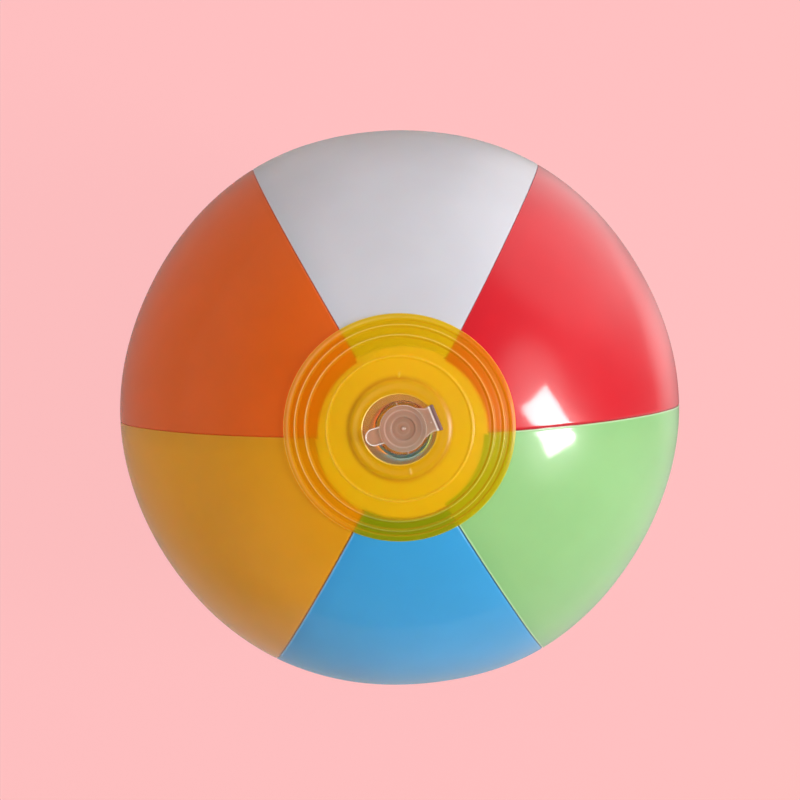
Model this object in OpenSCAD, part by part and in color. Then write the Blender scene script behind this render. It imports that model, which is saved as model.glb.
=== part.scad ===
// Inflatable beach ball: six welded film panels between two end discs,
// with a soft push-in inflation valve at the top.
// Millimetres. +Z runs from the ball's centre out through the valve.
// The origin is the centre of the ball.

/* [Ball] */
// Radius of the inflated ball, to the outside of the panels
ball_r = 100; // [90:1:115]
// Thickness of the panel film
film_t = 0.2; // [0.15:0.01:0.3]
// Width of the welded lap where one panel passes under the next
lap_w = 3.6; // [2:0.1:6]
// How far along the surface from the pole each panel stops, under the end disc
panel_end = 23.5; // [21:0.5:26]

/* [End discs] */
// Reach of an end disc along the surface from the pole to its rim
disc_reach = 32.1; // [30:0.1:36]
// Thickness of an end disc
disc_t = 0.32; // [0.25:0.01:0.5]
// Reach of the outer weld rib from the pole
rib_outer = 28.7; // [28:0.1:29.2]
// Reach of the middle weld rib from the pole
rib_middle = 25.7; // [25:0.1:26.5]
// Reach of the inner weld rib from the pole
rib_inner = 19.7; // [19:0.1:20.5]
// Radius of a weld rib's rounded section
rib_r = 0.4; // [0.25:0.05:0.6]
// How far the flange under it lifts the middle of the valve end disc
seat_rise = 0.3; // [0.2:0.05:0.4]
// Radius of the valve opening in the valve end disc
opening_r = 9.9; // [9.6:0.1:10.4]

/* [Valve] */
// Radius of the valve's welded flange
flange_r = 13.2; // [12.5:0.1:14]
// Thickness of the flange
flange_t = 0.8; // [0.6:0.1:1]
// Radius of the hole in the flange, where the boot starts
throat_r = 8.6; // [8.2:0.1:9]
// Depth of the folded-in boot, half of the stem's travel
boot_depth = 5; // [4:0.5:5.5]
// Outer radius of the stem
stem_r = 4.2; // [4.1:0.1:4.4]
// Radius of the bore that takes the inflating nozzle
bore_r = 2.9; // [2.6:0.1:3]
// Length of that bore
bore_len = 7.7; // [6:0.1:9]
// Radius of the seat for the plug at the stem's mouth
seat_r = 3.3; // [3.2:0.05:3.5]
// Depth of the plug's seat
seat_depth = 5; // [4.8:0.1:6]
// Radius of the rim around the stem's mouth
rim_r = 5.2; // [4.8:0.1:5.6]

/* [Cap] */
// Radius of the cap's round top
cap_r = 6.15; // [5.8:0.05:6.5]
// Thickness of the cap's round top
cap_t = 1; // [0.8:0.1:1.3]
// Length of the tapered plug
plug_len = 4.3; // [3.5:0.1:4.4]
// Radius of the plug at its tip
plug_tip_r = 2.5; // [2.2:0.05:2.55]
// Distance from the valve's axis to the strap's fold
fold_reach = 11; // [10.5:0.1:11.5]
// Width of the strap at the cap
strap_w = 6.3; // [5.5:0.1:6.6]
// Width of the strap at its fold
fold_w = 7; // [6:0.1:7.4]
// Thickness of each leg of the strap
strap_t = 0.6; // [0.5:0.05:0.6]
// Gap between the two legs of the strap
loop_gap = 0.4; // [0.3:0.05:0.5]
// Distance from the valve's axis to the tip of the pull tab
tab_reach = 10.2; // [9:0.1:11]
// Width of the pull tab
tab_w = 4.5; // [3.5:0.1:5]
// Direction of the strap around the valve, in degrees from +X
strap_angle = 15; // [0:1:60]

/* [Check flap] */
// Radius of the flap that closes the stem's inner end
flap_r = 3.8; // [3.3:0.1:3.9]
// Thickness of the flap
flap_t = 0.35; // [0.25:0.05:0.5]

/* [Hidden] */
$fn = 96;

gap = 0.02;                              // between film layers
run = 0.04;                              // between the cap and the stem
disc_in = ball_r + gap;                  // inside of an end disc
disc_out = disc_in + disc_t;             // outside of an end disc
mouth_z = ball_r + 1;                    // height of the stem's mouth
fold_z = mouth_z + loop_gap / 2;         // height of the strap's fold
flange_z = sqrt(pow(ball_r + seat_rise - flange_t / 2, 2) - pow(throat_r, 2));
hold_z = flange_z - boot_depth;          // where the boot meets the stem
seat_z = mouth_z - seat_depth;            // floor of the plug's seat
stem_z = seat_z - bore_len;              // inner end of the stem
flap_z = stem_z - run - flap_t;          // underside of the flap, and its hinge
flap_x = -flap_r - 0.2;                  // hinge of the flap

// Angle at the ball's centre for a length along the surface
function deg(s) = s / ball_r * 180 / PI;
// Point at a radius and an angle from the pole, as [distance from the axis, height]
function at(r, a) = [r * sin(a), r * cos(a)];

// Slice of a ring between two radii and two angles from the pole
module ring_slice(r_in, r_out, a0, a1) {
    n = ceil((a1 - a0) / 30);
    intersection() {
        difference() {
            circle(r = r_out, $fn = 180);
            circle(r = r_in, $fn = 180);
        }
        polygon([[0, 0], for (i = [0 : n]) at(r_out * 1.3, a0 + (a1 - a0) * i / n)]);
    }
}

// Part of a spherical shell, from one angle around the axis through a turn
module zone(r_in, r_out, a0, a1, start = 0, turn = 360) {
    rotate([0, 0, start])
        rotate_extrude(angle = turn, $fn = 180)
            ring_slice(r_in, r_out, a0, a1);
}

// One panel: its film, and a lap under its neighbour on the sides asked for
module gore(start, lap_first, lap_last) {
    a0 = deg(panel_end);
    lap = deg(lap_w);
    lap_out = ball_r - film_t - gap;
    from = lap_first ? -lap : 0;
    to = lap_last ? 60 + lap : 60;
    rotate([0, 0, start]) difference() {
        zone(lap_out - film_t, ball_r, a0, 180 - a0, from, to - from);
        if (lap_first) zone(lap_out, ball_r + 2, a0 - 4, 184 - a0, -lap - 4, lap + 4);
        if (lap_last) zone(lap_out, ball_r + 2, a0 - 4, 184 - a0, 60, lap + 4);
        inner_from = lap_first ? lap : -4;
        inner_to = lap_last ? 60 - lap : 64;
        zone(ball_r - 3, ball_r - film_t, a0 - 4, 184 - a0, inner_from, inner_to - inner_from);
    }
}

module gore_white()  { color([0.90, 0.90, 0.92]) gore(60, true, false); }
module gore_red()    { color([0.86, 0.06, 0.12]) gore(0, true, false); }
module gore_green()  { color([0.45, 0.80, 0.38]) gore(300, false, false); }
module gore_blue()   { color([0.10, 0.48, 0.85]) gore(240, false, true); }
module gore_yellow() { color([0.95, 0.66, 0.04]) gore(180, false, true); }
module gore_orange() { color([0.88, 0.28, 0.04]) gore(120, true, true); }

// Raised round weld rib on an end disc
module rib(reach) {
    rotate_extrude($fn = 180)
        translate(at(disc_out - rib_r * 0.35, deg(reach)))
            circle(r = rib_r, $fn = 24);
}

// An end disc: its sheet, its thick rim and its weld ribs
module end_disc(open_angle) {
    union() {
        zone(disc_in, disc_out, open_angle, deg(disc_reach));
        zone(disc_out - 0.1, disc_out + 0.25, deg(disc_reach) - 0.6, deg(disc_reach));
        difference() {
            union() {
                rib(rib_outer);
                rib(rib_middle);
                rib(rib_inner);
            }
            sphere(r = disc_in, $fn = 180);
        }
    }
}

// The disc at the valve: its middle is lifted by the flange, and open for the valve
module valve_end_disc() {
    step = deg(flange_r + 0.2);
    color([0.97, 0.74, 0.05, 0.7]) union() {
        end_disc(step);
        zone(disc_in, disc_out + seat_rise, step - 0.05, step + 0.25);
        zone(disc_in + seat_rise, disc_out + seat_rise, asin(opening_r / ball_r), step + 0.1);
    }
}

module far_end_disc() {
    color([0.97, 0.74, 0.05, 0.7]) mirror([0, 0, 1]) end_disc(0);
}

// Flange welded to the inside of the valve end disc
module valve_flange() {
    color([0.86, 0.84, 0.82, 0.5])
        zone(ball_r + seat_rise - flange_t, ball_r + seat_rise,
             asin(throat_r / (ball_r + seat_rise - flange_t / 2)), deg(flange_r));
}

// Thin boot that folds in and out with the stem
module valve_boot() {
    t = 0.5;
    color([0.86, 0.84, 0.82, 0.5])
        rotate_extrude($fn = 96)
            polygon([[throat_r - 0.02, flange_z - 0.1], [throat_r - 0.02, flange_z - 0.1 - t],
                     [stem_r + 0.9, hold_z - t], [stem_r + gap, hold_z - t],
                     [stem_r + gap, hold_z], [stem_r + 0.7, hold_z],
                     [throat_r - 0.6, flange_z - 0.1]]);
}

// Stem: a tube with the plug's seat at its mouth and the bore below it
module valve_stem() {
    color([0.86, 0.84, 0.82, 0.5])
        difference() {
            union() {
                translate([0, 0, stem_z]) cylinder(h = mouth_z - stem_z, r = stem_r);
                translate([0, 0, mouth_z - strap_t]) cylinder(h = strap_t, r = rim_r);
                rotate([0, 0, strap_angle]) difference() {
                    translate([flap_x - 0.8, -1.2, flap_z - 0.1])
                        cube([0.8 - gap, 2.4, stem_z - flap_z + 1.1]);
                    translate([0, 0, stem_z]) cylinder(h = 4, r = bore_r + 0.3);
                }
            }
            translate([0, 0, stem_z - 1]) cylinder(h = bore_len + 2, r = bore_r);
            translate([0, 0, seat_z]) cylinder(h = seat_depth + 1, r = seat_r);
        }
}

// Plan of one leg of the strap, from the valve's axis to the fold
module leg_plan() {
    polygon([[0, -strap_w / 2], [cap_r * 0.8, -strap_w / 2], [fold_reach, -fold_w / 2],
             [fold_reach, fold_w / 2], [cap_r * 0.8, strap_w / 2], [0, strap_w / 2]]);
}

module strap_lower_leg() {
    color([0.86, 0.84, 0.82, 0.5])
        difference() {
            rotate([0, 0, strap_angle])
                translate([0, 0, mouth_z - strap_t]) linear_extrude(strap_t) leg_plan();
            translate([0, 0, mouth_z - 2]) cylinder(h = 4, r = rim_r);
        }
}

module strap_upper_leg() {
    color([0.86, 0.84, 0.82, 0.5])
        difference() {
            rotate([0, 0, strap_angle])
                translate([0, 0, mouth_z + loop_gap]) linear_extrude(strap_t) leg_plan();
            translate([0, 0, mouth_z - 2]) cylinder(h = 4, r = cap_r);
        }
}

// Cap: round top with a raised edge ring, a dished middle and the tapered plug
module valve_cap() {
    low = mouth_z + run;
    top = low + cap_t;
    tip = mouth_z - plug_len;
    color([0.86, 0.84, 0.82, 0.5])
        rotate_extrude($fn = 96)
            polygon([[0, tip], [plug_tip_r - 0.3, tip], [plug_tip_r, tip + 0.3],
                     [seat_r - 0.05, low], [cap_r, low], [cap_r, top - 0.3], [cap_r - 0.3, top],
                     [cap_r - 1.1, top], [cap_r - 1.3, top - 0.15],
                     [seat_r + 0.1, top - 0.15], [seat_r - 0.2, top - 0.45],
                     [0.7, top - 0.45], [0.45, top - 0.15], [0, top - 0.15]]);
}

// Pull tab: a rounded tongue with a raised edge, opposite the strap
module pull_tab() {
    low = mouth_z + run;
    color([0.86, 0.84, 0.82, 0.5])
        difference() {
            rotate([0, 0, strap_angle + 180]) union() {
                translate([0, 0, low]) linear_extrude(0.3) tab_plan(0);
                translate([0, 0, low]) linear_extrude(0.75) difference() {
                    tab_plan(0);
                    tab_plan(0.55);
                }
            }
            translate([0, 0, mouth_z - 1]) cylinder(h = 4, r = cap_r);
        }
}

// Outline of the pull tab, set in by a margin
module tab_plan(inset) {
    w = tab_w / 2 - inset;
    union() {
        translate([0, -w]) square([tab_reach - tab_w / 2, 2 * w]);
        translate([tab_reach - tab_w / 2, 0]) circle(r = w, $fn = 48);
    }
}

// Flap that hangs under the stem's inner end and opens inwards
module check_flap() {
    color([0.86, 0.84, 0.82, 0.5])
        rotate([0, 0, strap_angle]) translate([0, 0, flap_z]) union() {
            cylinder(h = flap_t, r = flap_r);
            translate([flap_x, -1.2, 0]) cube([1.6, 2.4, flap_t]);
        }
}

gore_white();
gore_red();
gore_green();
gore_blue();
gore_yellow();
gore_orange();
valve_end_disc();
far_end_disc();
valve_flange();
valve_boot();
valve_stem();
strap_lower_leg();
strap_upper_leg();
valve_cap();
pull_tab();
check_flap();
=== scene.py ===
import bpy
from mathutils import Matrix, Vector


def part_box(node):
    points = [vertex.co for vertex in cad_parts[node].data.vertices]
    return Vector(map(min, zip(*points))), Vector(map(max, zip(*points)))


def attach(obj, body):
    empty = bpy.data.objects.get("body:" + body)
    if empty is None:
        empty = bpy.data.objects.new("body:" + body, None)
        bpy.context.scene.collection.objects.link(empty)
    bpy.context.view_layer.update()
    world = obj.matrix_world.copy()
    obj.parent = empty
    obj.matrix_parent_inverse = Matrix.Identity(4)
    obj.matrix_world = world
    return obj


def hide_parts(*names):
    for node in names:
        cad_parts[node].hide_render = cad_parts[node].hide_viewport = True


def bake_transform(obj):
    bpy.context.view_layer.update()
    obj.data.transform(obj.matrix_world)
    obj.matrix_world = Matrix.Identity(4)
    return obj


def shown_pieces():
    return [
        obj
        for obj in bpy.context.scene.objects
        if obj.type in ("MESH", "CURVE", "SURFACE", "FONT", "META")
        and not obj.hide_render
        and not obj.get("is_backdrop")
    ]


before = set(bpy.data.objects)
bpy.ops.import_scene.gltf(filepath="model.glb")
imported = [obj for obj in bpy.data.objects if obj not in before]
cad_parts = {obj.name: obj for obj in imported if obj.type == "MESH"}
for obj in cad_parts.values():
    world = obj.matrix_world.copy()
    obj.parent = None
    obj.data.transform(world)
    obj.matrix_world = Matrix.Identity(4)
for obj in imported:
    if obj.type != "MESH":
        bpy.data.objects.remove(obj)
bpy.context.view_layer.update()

import math

import bpy
import numpy as np
from mathutils import Matrix, Vector, noise

MM = 0.001
scene = bpy.context.scene

# ---------------------------------------------------------------- the frame's own numbers, in mm
R = 100.0                                                  # outside of the panels
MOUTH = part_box("strap_lower_leg")[1].z / MM                # the stem's mouth
CAP_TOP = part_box("valve_cap")[1].z / MM
PLUG_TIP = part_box("valve_cap")[0].z / MM
STRAP_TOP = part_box("strap_upper_leg")[1].z / MM
STEM_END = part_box("valve_stem")[0].z / MM
FLAP_LOW, FLAP_TOP = (c.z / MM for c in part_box("check_flap"))
FLANGE_TOP = 100.3
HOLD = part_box("valve_boot")[0].z / MM + 0.5                # where the boot meets the stem
FLOOR = -0.1008                                            # under the far disc's weld ribs
STRAP_AZ = math.radians(15.0)
FOLD_R = 9.8                                              # the hinge's line, at the fold


# ---------------------------------------------------------------- camera and light directions
EYE_D = 0.350                                              # camera to the ball's centre
FOCAL_PX = 933.8
cz = Vector((0.0021, 0.0541, 0.9985)).normalized()         # from the ball's centre to the camera
cx = Vector((math.cos(math.radians(-1.69)), math.sin(math.radians(-1.69)), 0))
cx = (cx - cz * cx.dot(cz)).normalized()
cy = cz.cross(cx)


def towards(az, el):
    """A direction in the row frame: az turns in the picture's plane from its right, el rises to the camera."""
    a, e = math.radians(az), math.radians(el)
    return cx * (math.cos(e) * math.cos(a)) + cy * (math.cos(e) * math.sin(a)) + cz * math.sin(e)


cam_data = bpy.data.cameras.new("camera")
cam_data.sensor_width = 36.0
cam_data.lens = FOCAL_PX / 800 * 36.0
cam_data.clip_start, cam_data.clip_end = 0.01, 50
cam = bpy.data.objects.new("camera", cam_data)
scene.collection.objects.link(cam)
to_ball = Vector((-0.4 / FOCAL_PX, -6.8 / FOCAL_PX, -1.0)).normalized()   # in the camera's axes
turn = to_ball.rotation_difference(Vector((0, 0, -1)))
axes = Matrix((cx, cy, cz)).transposed()
cam.matrix_world = Matrix.Translation(cz * EYE_D) @ (axes @ turn.to_matrix()).to_4x4()
scene.camera = cam
scene.view_settings.view_transform = "Standard"


# ---------------------------------------------------------------- small tools
def lin(r, g, b):
    """A colour given as it looks on a screen, 0 to 255, as linear numbers."""
    out = []
    for c in (r, g, b):
        c /= 255
        out.append(c / 12.92 if c <= 0.04045 else ((c + 0.055) / 1.055) ** 2.4)
    return (*out, 1.0)


def step(x, a, b):
    t = np.clip((np.asarray(x, float) - a) / (b - a), 0, 1)
    return t * t * (3 - 2 * t)


def bump(x, at, width):
    return np.exp(-(((np.asarray(x, float) - at) / width) ** 2))


def piece(name, points, faces, materials, which=None, smooth=True):
    """A mesh object from points in mm."""
    mesh = bpy.data.meshes.new(name)
    mesh.from_pydata((np.asarray(points, float) * MM).tolist(), [], faces)
    mesh.validate()
    for m in materials:
        mesh.materials.append(m)
    if which is not None:
        mesh.polygons.foreach_set("material_index", which)
    mesh.polygons.foreach_set("use_smooth", [smooth] * len(mesh.polygons))
    mesh.update()
    obj = bpy.data.objects.new(name, mesh)
    scene.collection.objects.link(obj)
    return obj


def attribute(obj, name, values):
    a = obj.data.attributes.new(name, "FLOAT", "POINT")
    a.data.foreach_set("value", np.asarray(values, np.float32))


def grid_faces(rows, cols, start=0, wrap=False, flip=False):
    faces = []
    for i in range(rows - 1):
        for j in range(cols if wrap else cols - 1):
            k = (j + 1) % cols
            q = [start + i * cols + j, start + i * cols + k, start + (i + 1) * cols + k, start + (i + 1) * cols + j]
            faces.append(q[::-1] if flip else q)
    return faces


def filleted(profile, radii, n=5):
    """A closed outline with its corners rounded. radii is one number, or one a corner."""
    pts = [np.array(p, float) for p in profile]
    if not hasattr(radii, "__len__"):
        radii = [radii] * len(pts)
    out = []
    for i, p in enumerate(pts):
        a, b = pts[i - 1], pts[(i + 1) % len(pts)]
        la, lb = np.linalg.norm(a - p), np.linalg.norm(b - p)
        if radii[i] <= 0:
            out.append(p)
            continue
        da, db = (a - p) / la, (b - p) / lb
        half = math.acos(max(-1, min(1, float(da @ db)))) / 2
        d = min(radii[i] / max(math.tan(half), 0.05), 0.45 * la, 0.45 * lb)
        for t in np.linspace(0, 1, n):
            out.append((1 - t) ** 2 * (p + da * d) + 2 * t * (1 - t) * p + t ** 2 * (p + db * d))
    return np.array(out)


def revolved_points(profile, n):
    ang = np.linspace(0, 2 * math.pi, n, endpoint=False)
    return np.array([[r * math.cos(a), r * math.sin(a), z] for r, z in np.asarray(profile, float) for a in ang])


def revolved(name, profile, materials, n=160, shape=None, closed=True):
    """A closed outline of [distance from the axis, height] turned about the ball's axis. shape may change the points.
    An open outline starts and ends on the axis."""
    prof = np.asarray(profile, float)
    ang = np.linspace(0, 2 * math.pi, n, endpoint=False)
    if closed:
        pts = revolved_points(prof, n)
        faces = grid_faces(len(prof), n, wrap=True)
        last = (len(prof) - 1) * n
        faces += [[last + j, last + (j + 1) % n, (j + 1) % n, j] for j in range(n)]
    else:
        ring = prof[1:-1]
        pts = [[r * math.cos(a), r * math.sin(a), z] for r, z in ring for a in ang]
        faces = grid_faces(len(ring), n, wrap=True)
        top, low = len(pts), len(pts) + 1
        pts += [[0, 0, prof[0][1]], [0, 0, prof[-1][1]]]
        faces += [[top, (j + 1) % n, j] for j in range(n)]
        base = (len(ring) - 1) * n
        faces += [[low, base + j, base + (j + 1) % n] for j in range(n)]
        pts = np.array(pts)
    if shape is not None:
        pts = shape(pts)
    obj = piece(name, pts, faces, materials)
    outward(obj)
    return obj


def outward(obj):
    """Turns a closed mesh's faces outwards if its volume comes out negative."""
    m = obj.data
    m.calc_loop_triangles()
    co = np.array([v.co for v in m.vertices], float)
    t = np.array([x.vertices for x in m.loop_triangles])
    vol = (co[t[:, 0]] * np.cross(co[t[:, 1]], co[t[:, 2]])).sum()
    if vol < 0:
        m.flip_normals()
    m.update()


# ---------------------------------------------------------------- materials
def tree(name):
    m = bpy.data.materials.new(name)
    m.use_nodes = True
    nt = m.node_tree
    nt.nodes.clear()
    return m, nt, nt.nodes.new("ShaderNodeOutputMaterial")


def fine_noise(nt, scale, detail=2.0, rough=0.5, at=(0, 0, 0)):
    tc = nt.nodes.new("ShaderNodeTexCoord")
    mp = nt.nodes.new("ShaderNodeMapping")
    mp.inputs["Location"].default_value = at
    n = nt.nodes.new("ShaderNodeTexNoise")
    n.inputs["Scale"].default_value = scale
    n.inputs["Detail"].default_value = detail
    n.inputs["Roughness"].default_value = rough
    nt.links.new(tc.outputs["Object"], mp.inputs["Vector"])
    nt.links.new(mp.outputs["Vector"], n.inputs["Vector"])
    return n.outputs["Fac"]


def ranged(nt, value, a, b, lo=0.3, hi=0.7):
    m = nt.nodes.new("ShaderNodeMapRange")
    m.inputs["From Min"].default_value, m.inputs["From Max"].default_value = lo, hi
    m.inputs["To Min"].default_value, m.inputs["To Max"].default_value = a, b
    nt.links.new(value, m.inputs["Value"])
    return m.outputs["Result"]


def mixed(nt, fac, a, b, how="MIX"):
    m = nt.nodes.new("ShaderNodeMix")
    m.data_type, m.blend_type = "RGBA", how
    for value, socket in ((fac, m.inputs[0]), (a, m.inputs[6]), (b, m.inputs[7])):
        if isinstance(value, bpy.types.NodeSocket):
            nt.links.new(value, socket)
        else:
            socket.default_value = value
    return m.outputs[2]


def uneven(nt, layers):
    """A normal from several noises: (scale, depth in metres, detail)."""
    normal = None
    for scale, depth, detail in layers:
        b = nt.nodes.new("ShaderNodeBump")
        b.inputs["Strength"].default_value = 1.0
        b.inputs["Distance"].default_value = depth
        nt.links.new(fine_noise(nt, scale, detail), b.inputs["Height"])
        if normal is not None:
            nt.links.new(normal, b.inputs["Normal"])
        normal = b.outputs["Normal"]
    return normal


def film(name, colour, through=0.36, pale=(1, 1, 1, 1), dark=None):
    """Glossy calendered vinyl film that lets some light through. The seam attribute is 1 on a cut edge, drawn pale,
    partly the cut edge's own paler colour and partly a painted highlight, and -1 in the groove beside it, drawn dark as
    painted shade.
    """
    m, nt, out = tree(name)
    at = nt.nodes.new("ShaderNodeAttribute")
    at.attribute_name = "seam"
    up = ranged(nt, at.outputs["Fac"], 0.0, 0.55, 0.0, 1.0)
    down = ranged(nt, at.outputs["Fac"], 0.75, 0.0, -1.0, 0.0)
    shade = tuple(c * 0.94 for c in colour[:3]) + (1,)
    light = tuple(min(1, c * 1.05 + 0.004) for c in colour[:3]) + (1,)
    cloud = mixed(nt, ranged(nt, fine_noise(nt, 22, 3), 0, 1), shade, light)
    # the seam's pale line is partly the cut edge's own paler colour and partly a painted highlight; the dark line in
    # its groove is painted shade
    edge = mixed(nt, up, cloud, pale)
    base = mixed(nt, down, edge, dark or tuple(c * c * 0.5 for c in colour[:3]) + (1,))
    p = nt.nodes.new("ShaderNodeBsdfPrincipled")
    nt.links.new(base, p.inputs["Base Color"])
    p.inputs["Roughness"].default_value = 0.305
    p.inputs["IOR"].default_value = 1.50
    p.inputs["Specular IOR Level"].default_value = 0.24
    p.inputs["Coat Weight"].default_value = 0.85
    p.inputs["Coat Roughness"].default_value = 0.085
    nt.links.new(uneven(nt, ((30, 0.00006, 1), (240, 0.000009, 2), (1400, 0.0000014, 2))), p.inputs["Normal"])
    t = nt.nodes.new("ShaderNodeBsdfTranslucent")
    nt.links.new(base, t.inputs["Color"])
    mix = nt.nodes.new("ShaderNodeMixShader")
    mix.inputs[0].default_value = through
    nt.links.new(p.outputs[0], mix.inputs[1])
    nt.links.new(t.outputs[0], mix.inputs[2])
    nt.links.new(mix.outputs[0], out.inputs["Surface"])
    return m


def film_back(name, colour):
    """The inner face of the film: dull, and most of the light that reaches it goes through."""
    m, nt, out = tree(name)
    p = nt.nodes.new("ShaderNodeBsdfPrincipled")
    base = mixed(nt, ranged(nt, fine_noise(nt, 22, 3), 0, 1), tuple(c * 0.93 for c in colour[:3]) + (1,), colour)
    nt.links.new(base, p.inputs["Base Color"])
    p.inputs["Roughness"].default_value = 0.42
    nt.links.new(uneven(nt, ((240, 0.000009, 2),)), p.inputs["Normal"])
    t = nt.nodes.new("ShaderNodeBsdfTranslucent")
    t.inputs["Color"].default_value = (0.95, 0.94, 0.92, 1)
    mix = nt.nodes.new("ShaderNodeMixShader")
    mix.inputs[0].default_value = 0.85
    nt.links.new(p.outputs[0], mix.inputs[1])
    nt.links.new(t.outputs[0], mix.inputs[2])
    nt.links.new(mix.outputs[0], out.inputs["Surface"])
    return m


def see_through(name, colour, pale, dark, glass, haze, clear, milk, rough=0.12, coat=0.7, coat_rough=0.05, grain=((60, 0.00012, 1), (320, 0.00001, 2)), cloud=40):
    """Tinted or clear vinyl: part of the light comes back in its own colour, part goes through scattered, part goes
    straight through.
    The mark attribute is 1 where a painted highlight lies, on crests and edges, and -1 where painted shade lies, in the
    fold beside them."""
    m, nt, out = tree(name)
    at = nt.nodes.new("ShaderNodeAttribute")
    at.attribute_name = "mark"
    up = ranged(nt, at.outputs["Fac"], 0.0, 1.0, 0.0, 1.0)
    down = ranged(nt, at.outputs["Fac"], 1.0, 0.0, -1.0, 0.0)
    own = mixed(nt, ranged(nt, fine_noise(nt, cloud, 3), 0, 1), tuple(c * 0.93 for c in colour[:3]) + (1,), colour)
    # painted highlight towards the pale colour, painted shade towards the dark colour
    own = mixed(nt, down, mixed(nt, up, own, pale), dark)
    p = nt.nodes.new("ShaderNodeBsdfPrincipled")
    nt.links.new(own, p.inputs["Base Color"])
    nt.links.new(ranged(nt, fine_noise(nt, 120, 3, at=(2, 2, 0)), rough * 0.8, rough * 1.25), p.inputs["Roughness"])
    p.inputs["IOR"].default_value = 1.5
    p.inputs["Coat Weight"].default_value = coat
    p.inputs["Coat Roughness"].default_value = coat_rough
    nt.links.new(uneven(nt, grain), p.inputs["Normal"])
    t = nt.nodes.new("ShaderNodeBsdfTranslucent")
    t.inputs["Color"].default_value = haze
    body = nt.nodes.new("ShaderNodeMixShader")
    body.inputs[0].default_value = 1 - milk
    nt.links.new(p.outputs[0], body.inputs[1])
    nt.links.new(t.outputs[0], body.inputs[2])
    see = nt.nodes.new("ShaderNodeBsdfTransparent")
    see.inputs["Color"].default_value = glass
    size = nt.nodes.new("ShaderNodeMath")
    size.operation = "ABSOLUTE"
    nt.links.new(at.outputs["Fac"], size.inputs[0])
    # a place with a painted highlight or painted shade sends back more of its own colour
    solid = nt.nodes.new("ShaderNodeMixShader")
    nt.links.new(ranged(nt, size.outputs[0], 0.0, 0.75, 0.0, 1.0), solid.inputs[0])
    nt.links.new(body.outputs[0], solid.inputs[1])
    nt.links.new(p.outputs[0], solid.inputs[2])
    # painted shade: a dull dark diffuse where the mark is negative, in folds and beside ribs
    fold = nt.nodes.new("ShaderNodeBsdfDiffuse")
    fold.inputs["Color"].default_value = dark
    fold_shade = nt.nodes.new("ShaderNodeMixShader")
    nt.links.new(ranged(nt, at.outputs["Fac"], 0.9, 0.0, -0.9, 0.0), fold_shade.inputs[0])
    nt.links.new(solid.outputs[0], fold_shade.inputs[1])
    nt.links.new(fold.outputs[0], fold_shade.inputs[2])
    mix = nt.nodes.new("ShaderNodeMixShader")
    rim = nt.nodes.new("ShaderNodeAttribute")
    rim.attribute_name = "rim"                              # 1 where the sheet lies on another sheet
    seen = nt.nodes.new("ShaderNodeMath")
    seen.operation = "MULTIPLY"
    nt.links.new(ranged(nt, size.outputs[0], clear, clear * 0.3, 0.0, 1.0), seen.inputs[0])
    nt.links.new(ranged(nt, rim.outputs["Fac"], 1.0, 3.4, 0.0, 1.0), seen.inputs[1])
    nt.links.new(seen.outputs[0], mix.inputs[0])
    nt.links.new(fold_shade.outputs[0], mix.inputs[1])
    nt.links.new(see.outputs[0], mix.inputs[2])
    nt.links.new(mix.outputs[0], out.inputs["Surface"])
    return m


def vinyl(name, colour, rough=0.14, clear=0.92):
    """Clear soft moulded vinyl with a slight haze and a fine mould texture."""
    m, nt, out = tree(name)
    p = nt.nodes.new("ShaderNodeBsdfPrincipled")
    base = mixed(nt, ranged(nt, fine_noise(nt, 300, 3), 0, 1), tuple(c * 0.94 for c in colour[:3]) + (1,), colour)
    nt.links.new(base, p.inputs["Base Color"])
    nt.links.new(ranged(nt, fine_noise(nt, 500, 3, at=(4, 0, 1)), rough * 0.7, rough * 1.4), p.inputs["Roughness"])
    p.inputs["IOR"].default_value = 1.45
    p.inputs["Transmission Weight"].default_value = clear
    nt.links.new(uneven(nt, ((350, 0.000005, 1),)), p.inputs["Normal"])
    at = nt.nodes.new("ShaderNodeAttribute")
    at.attribute_name = "mark"                              # 1 along the mould's flash lines
    line = nt.nodes.new("ShaderNodeBsdfDiffuse")
    line.inputs["Color"].default_value = lin(238, 214, 190)
    mix = nt.nodes.new("ShaderNodeMixShader")
    nt.links.new(ranged(nt, at.outputs["Fac"], 0.0, 0.8, 0.15, 1.0), mix.inputs[0])
    nt.links.new(p.outputs[0], mix.inputs[1])
    nt.links.new(line.outputs[0], mix.inputs[2])
    nt.links.new(mix.outputs[0], out.inputs["Surface"])
    return m


WHITE = lin(209, 214, 225)
RED = lin(211, 19, 37)
GREEN = lin(147, 203, 133)
BLUE = lin(59, 168, 231)
YELLOW = lin(228, 160, 4)
ORANGE = lin(227, 99, 6)
# each film's pale colour is its seams' paler cut edge with a painted highlight; its dark colour is the painted shade in
# the seams' grooves
film_white = film("film_white", WHITE, pale=lin(250, 250, 252), dark=lin(150, 148, 155))
film_red = film("film_red", RED, pale=lin(255, 150, 150), dark=lin(120, 8, 16))
film_green = film("film_green", GREEN, pale=lin(238, 255, 225), dark=lin(60, 130, 50))
film_blue = film("film_blue", BLUE, pale=lin(190, 225, 240), dark=lin(4, 80, 105))
film_yellow = film("film_yellow", YELLOW, pale=lin(255, 215, 110), dark=lin(130, 72, 2))
film_orange = film("film_orange", ORANGE, pale=lin(250, 160, 100), dark=lin(170, 22, 4))
inside = film_back("film_inside", lin(225, 220, 212))
# disc_yellow's pale colour is its painted highlight and its dark colour its painted shade
disc_yellow = see_through("disc_yellow", lin(252, 206, 4), lin(255, 240, 170), lin(180, 114, 4), (1.0, 0.87, 0.15, 1), (1.0, 0.87, 0.11, 1), clear=0.26, milk=0.33, rough=0.34, coat_rough=0.24)
clear_vinyl = vinyl("clear_vinyl", lin(252, 208, 156))
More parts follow.
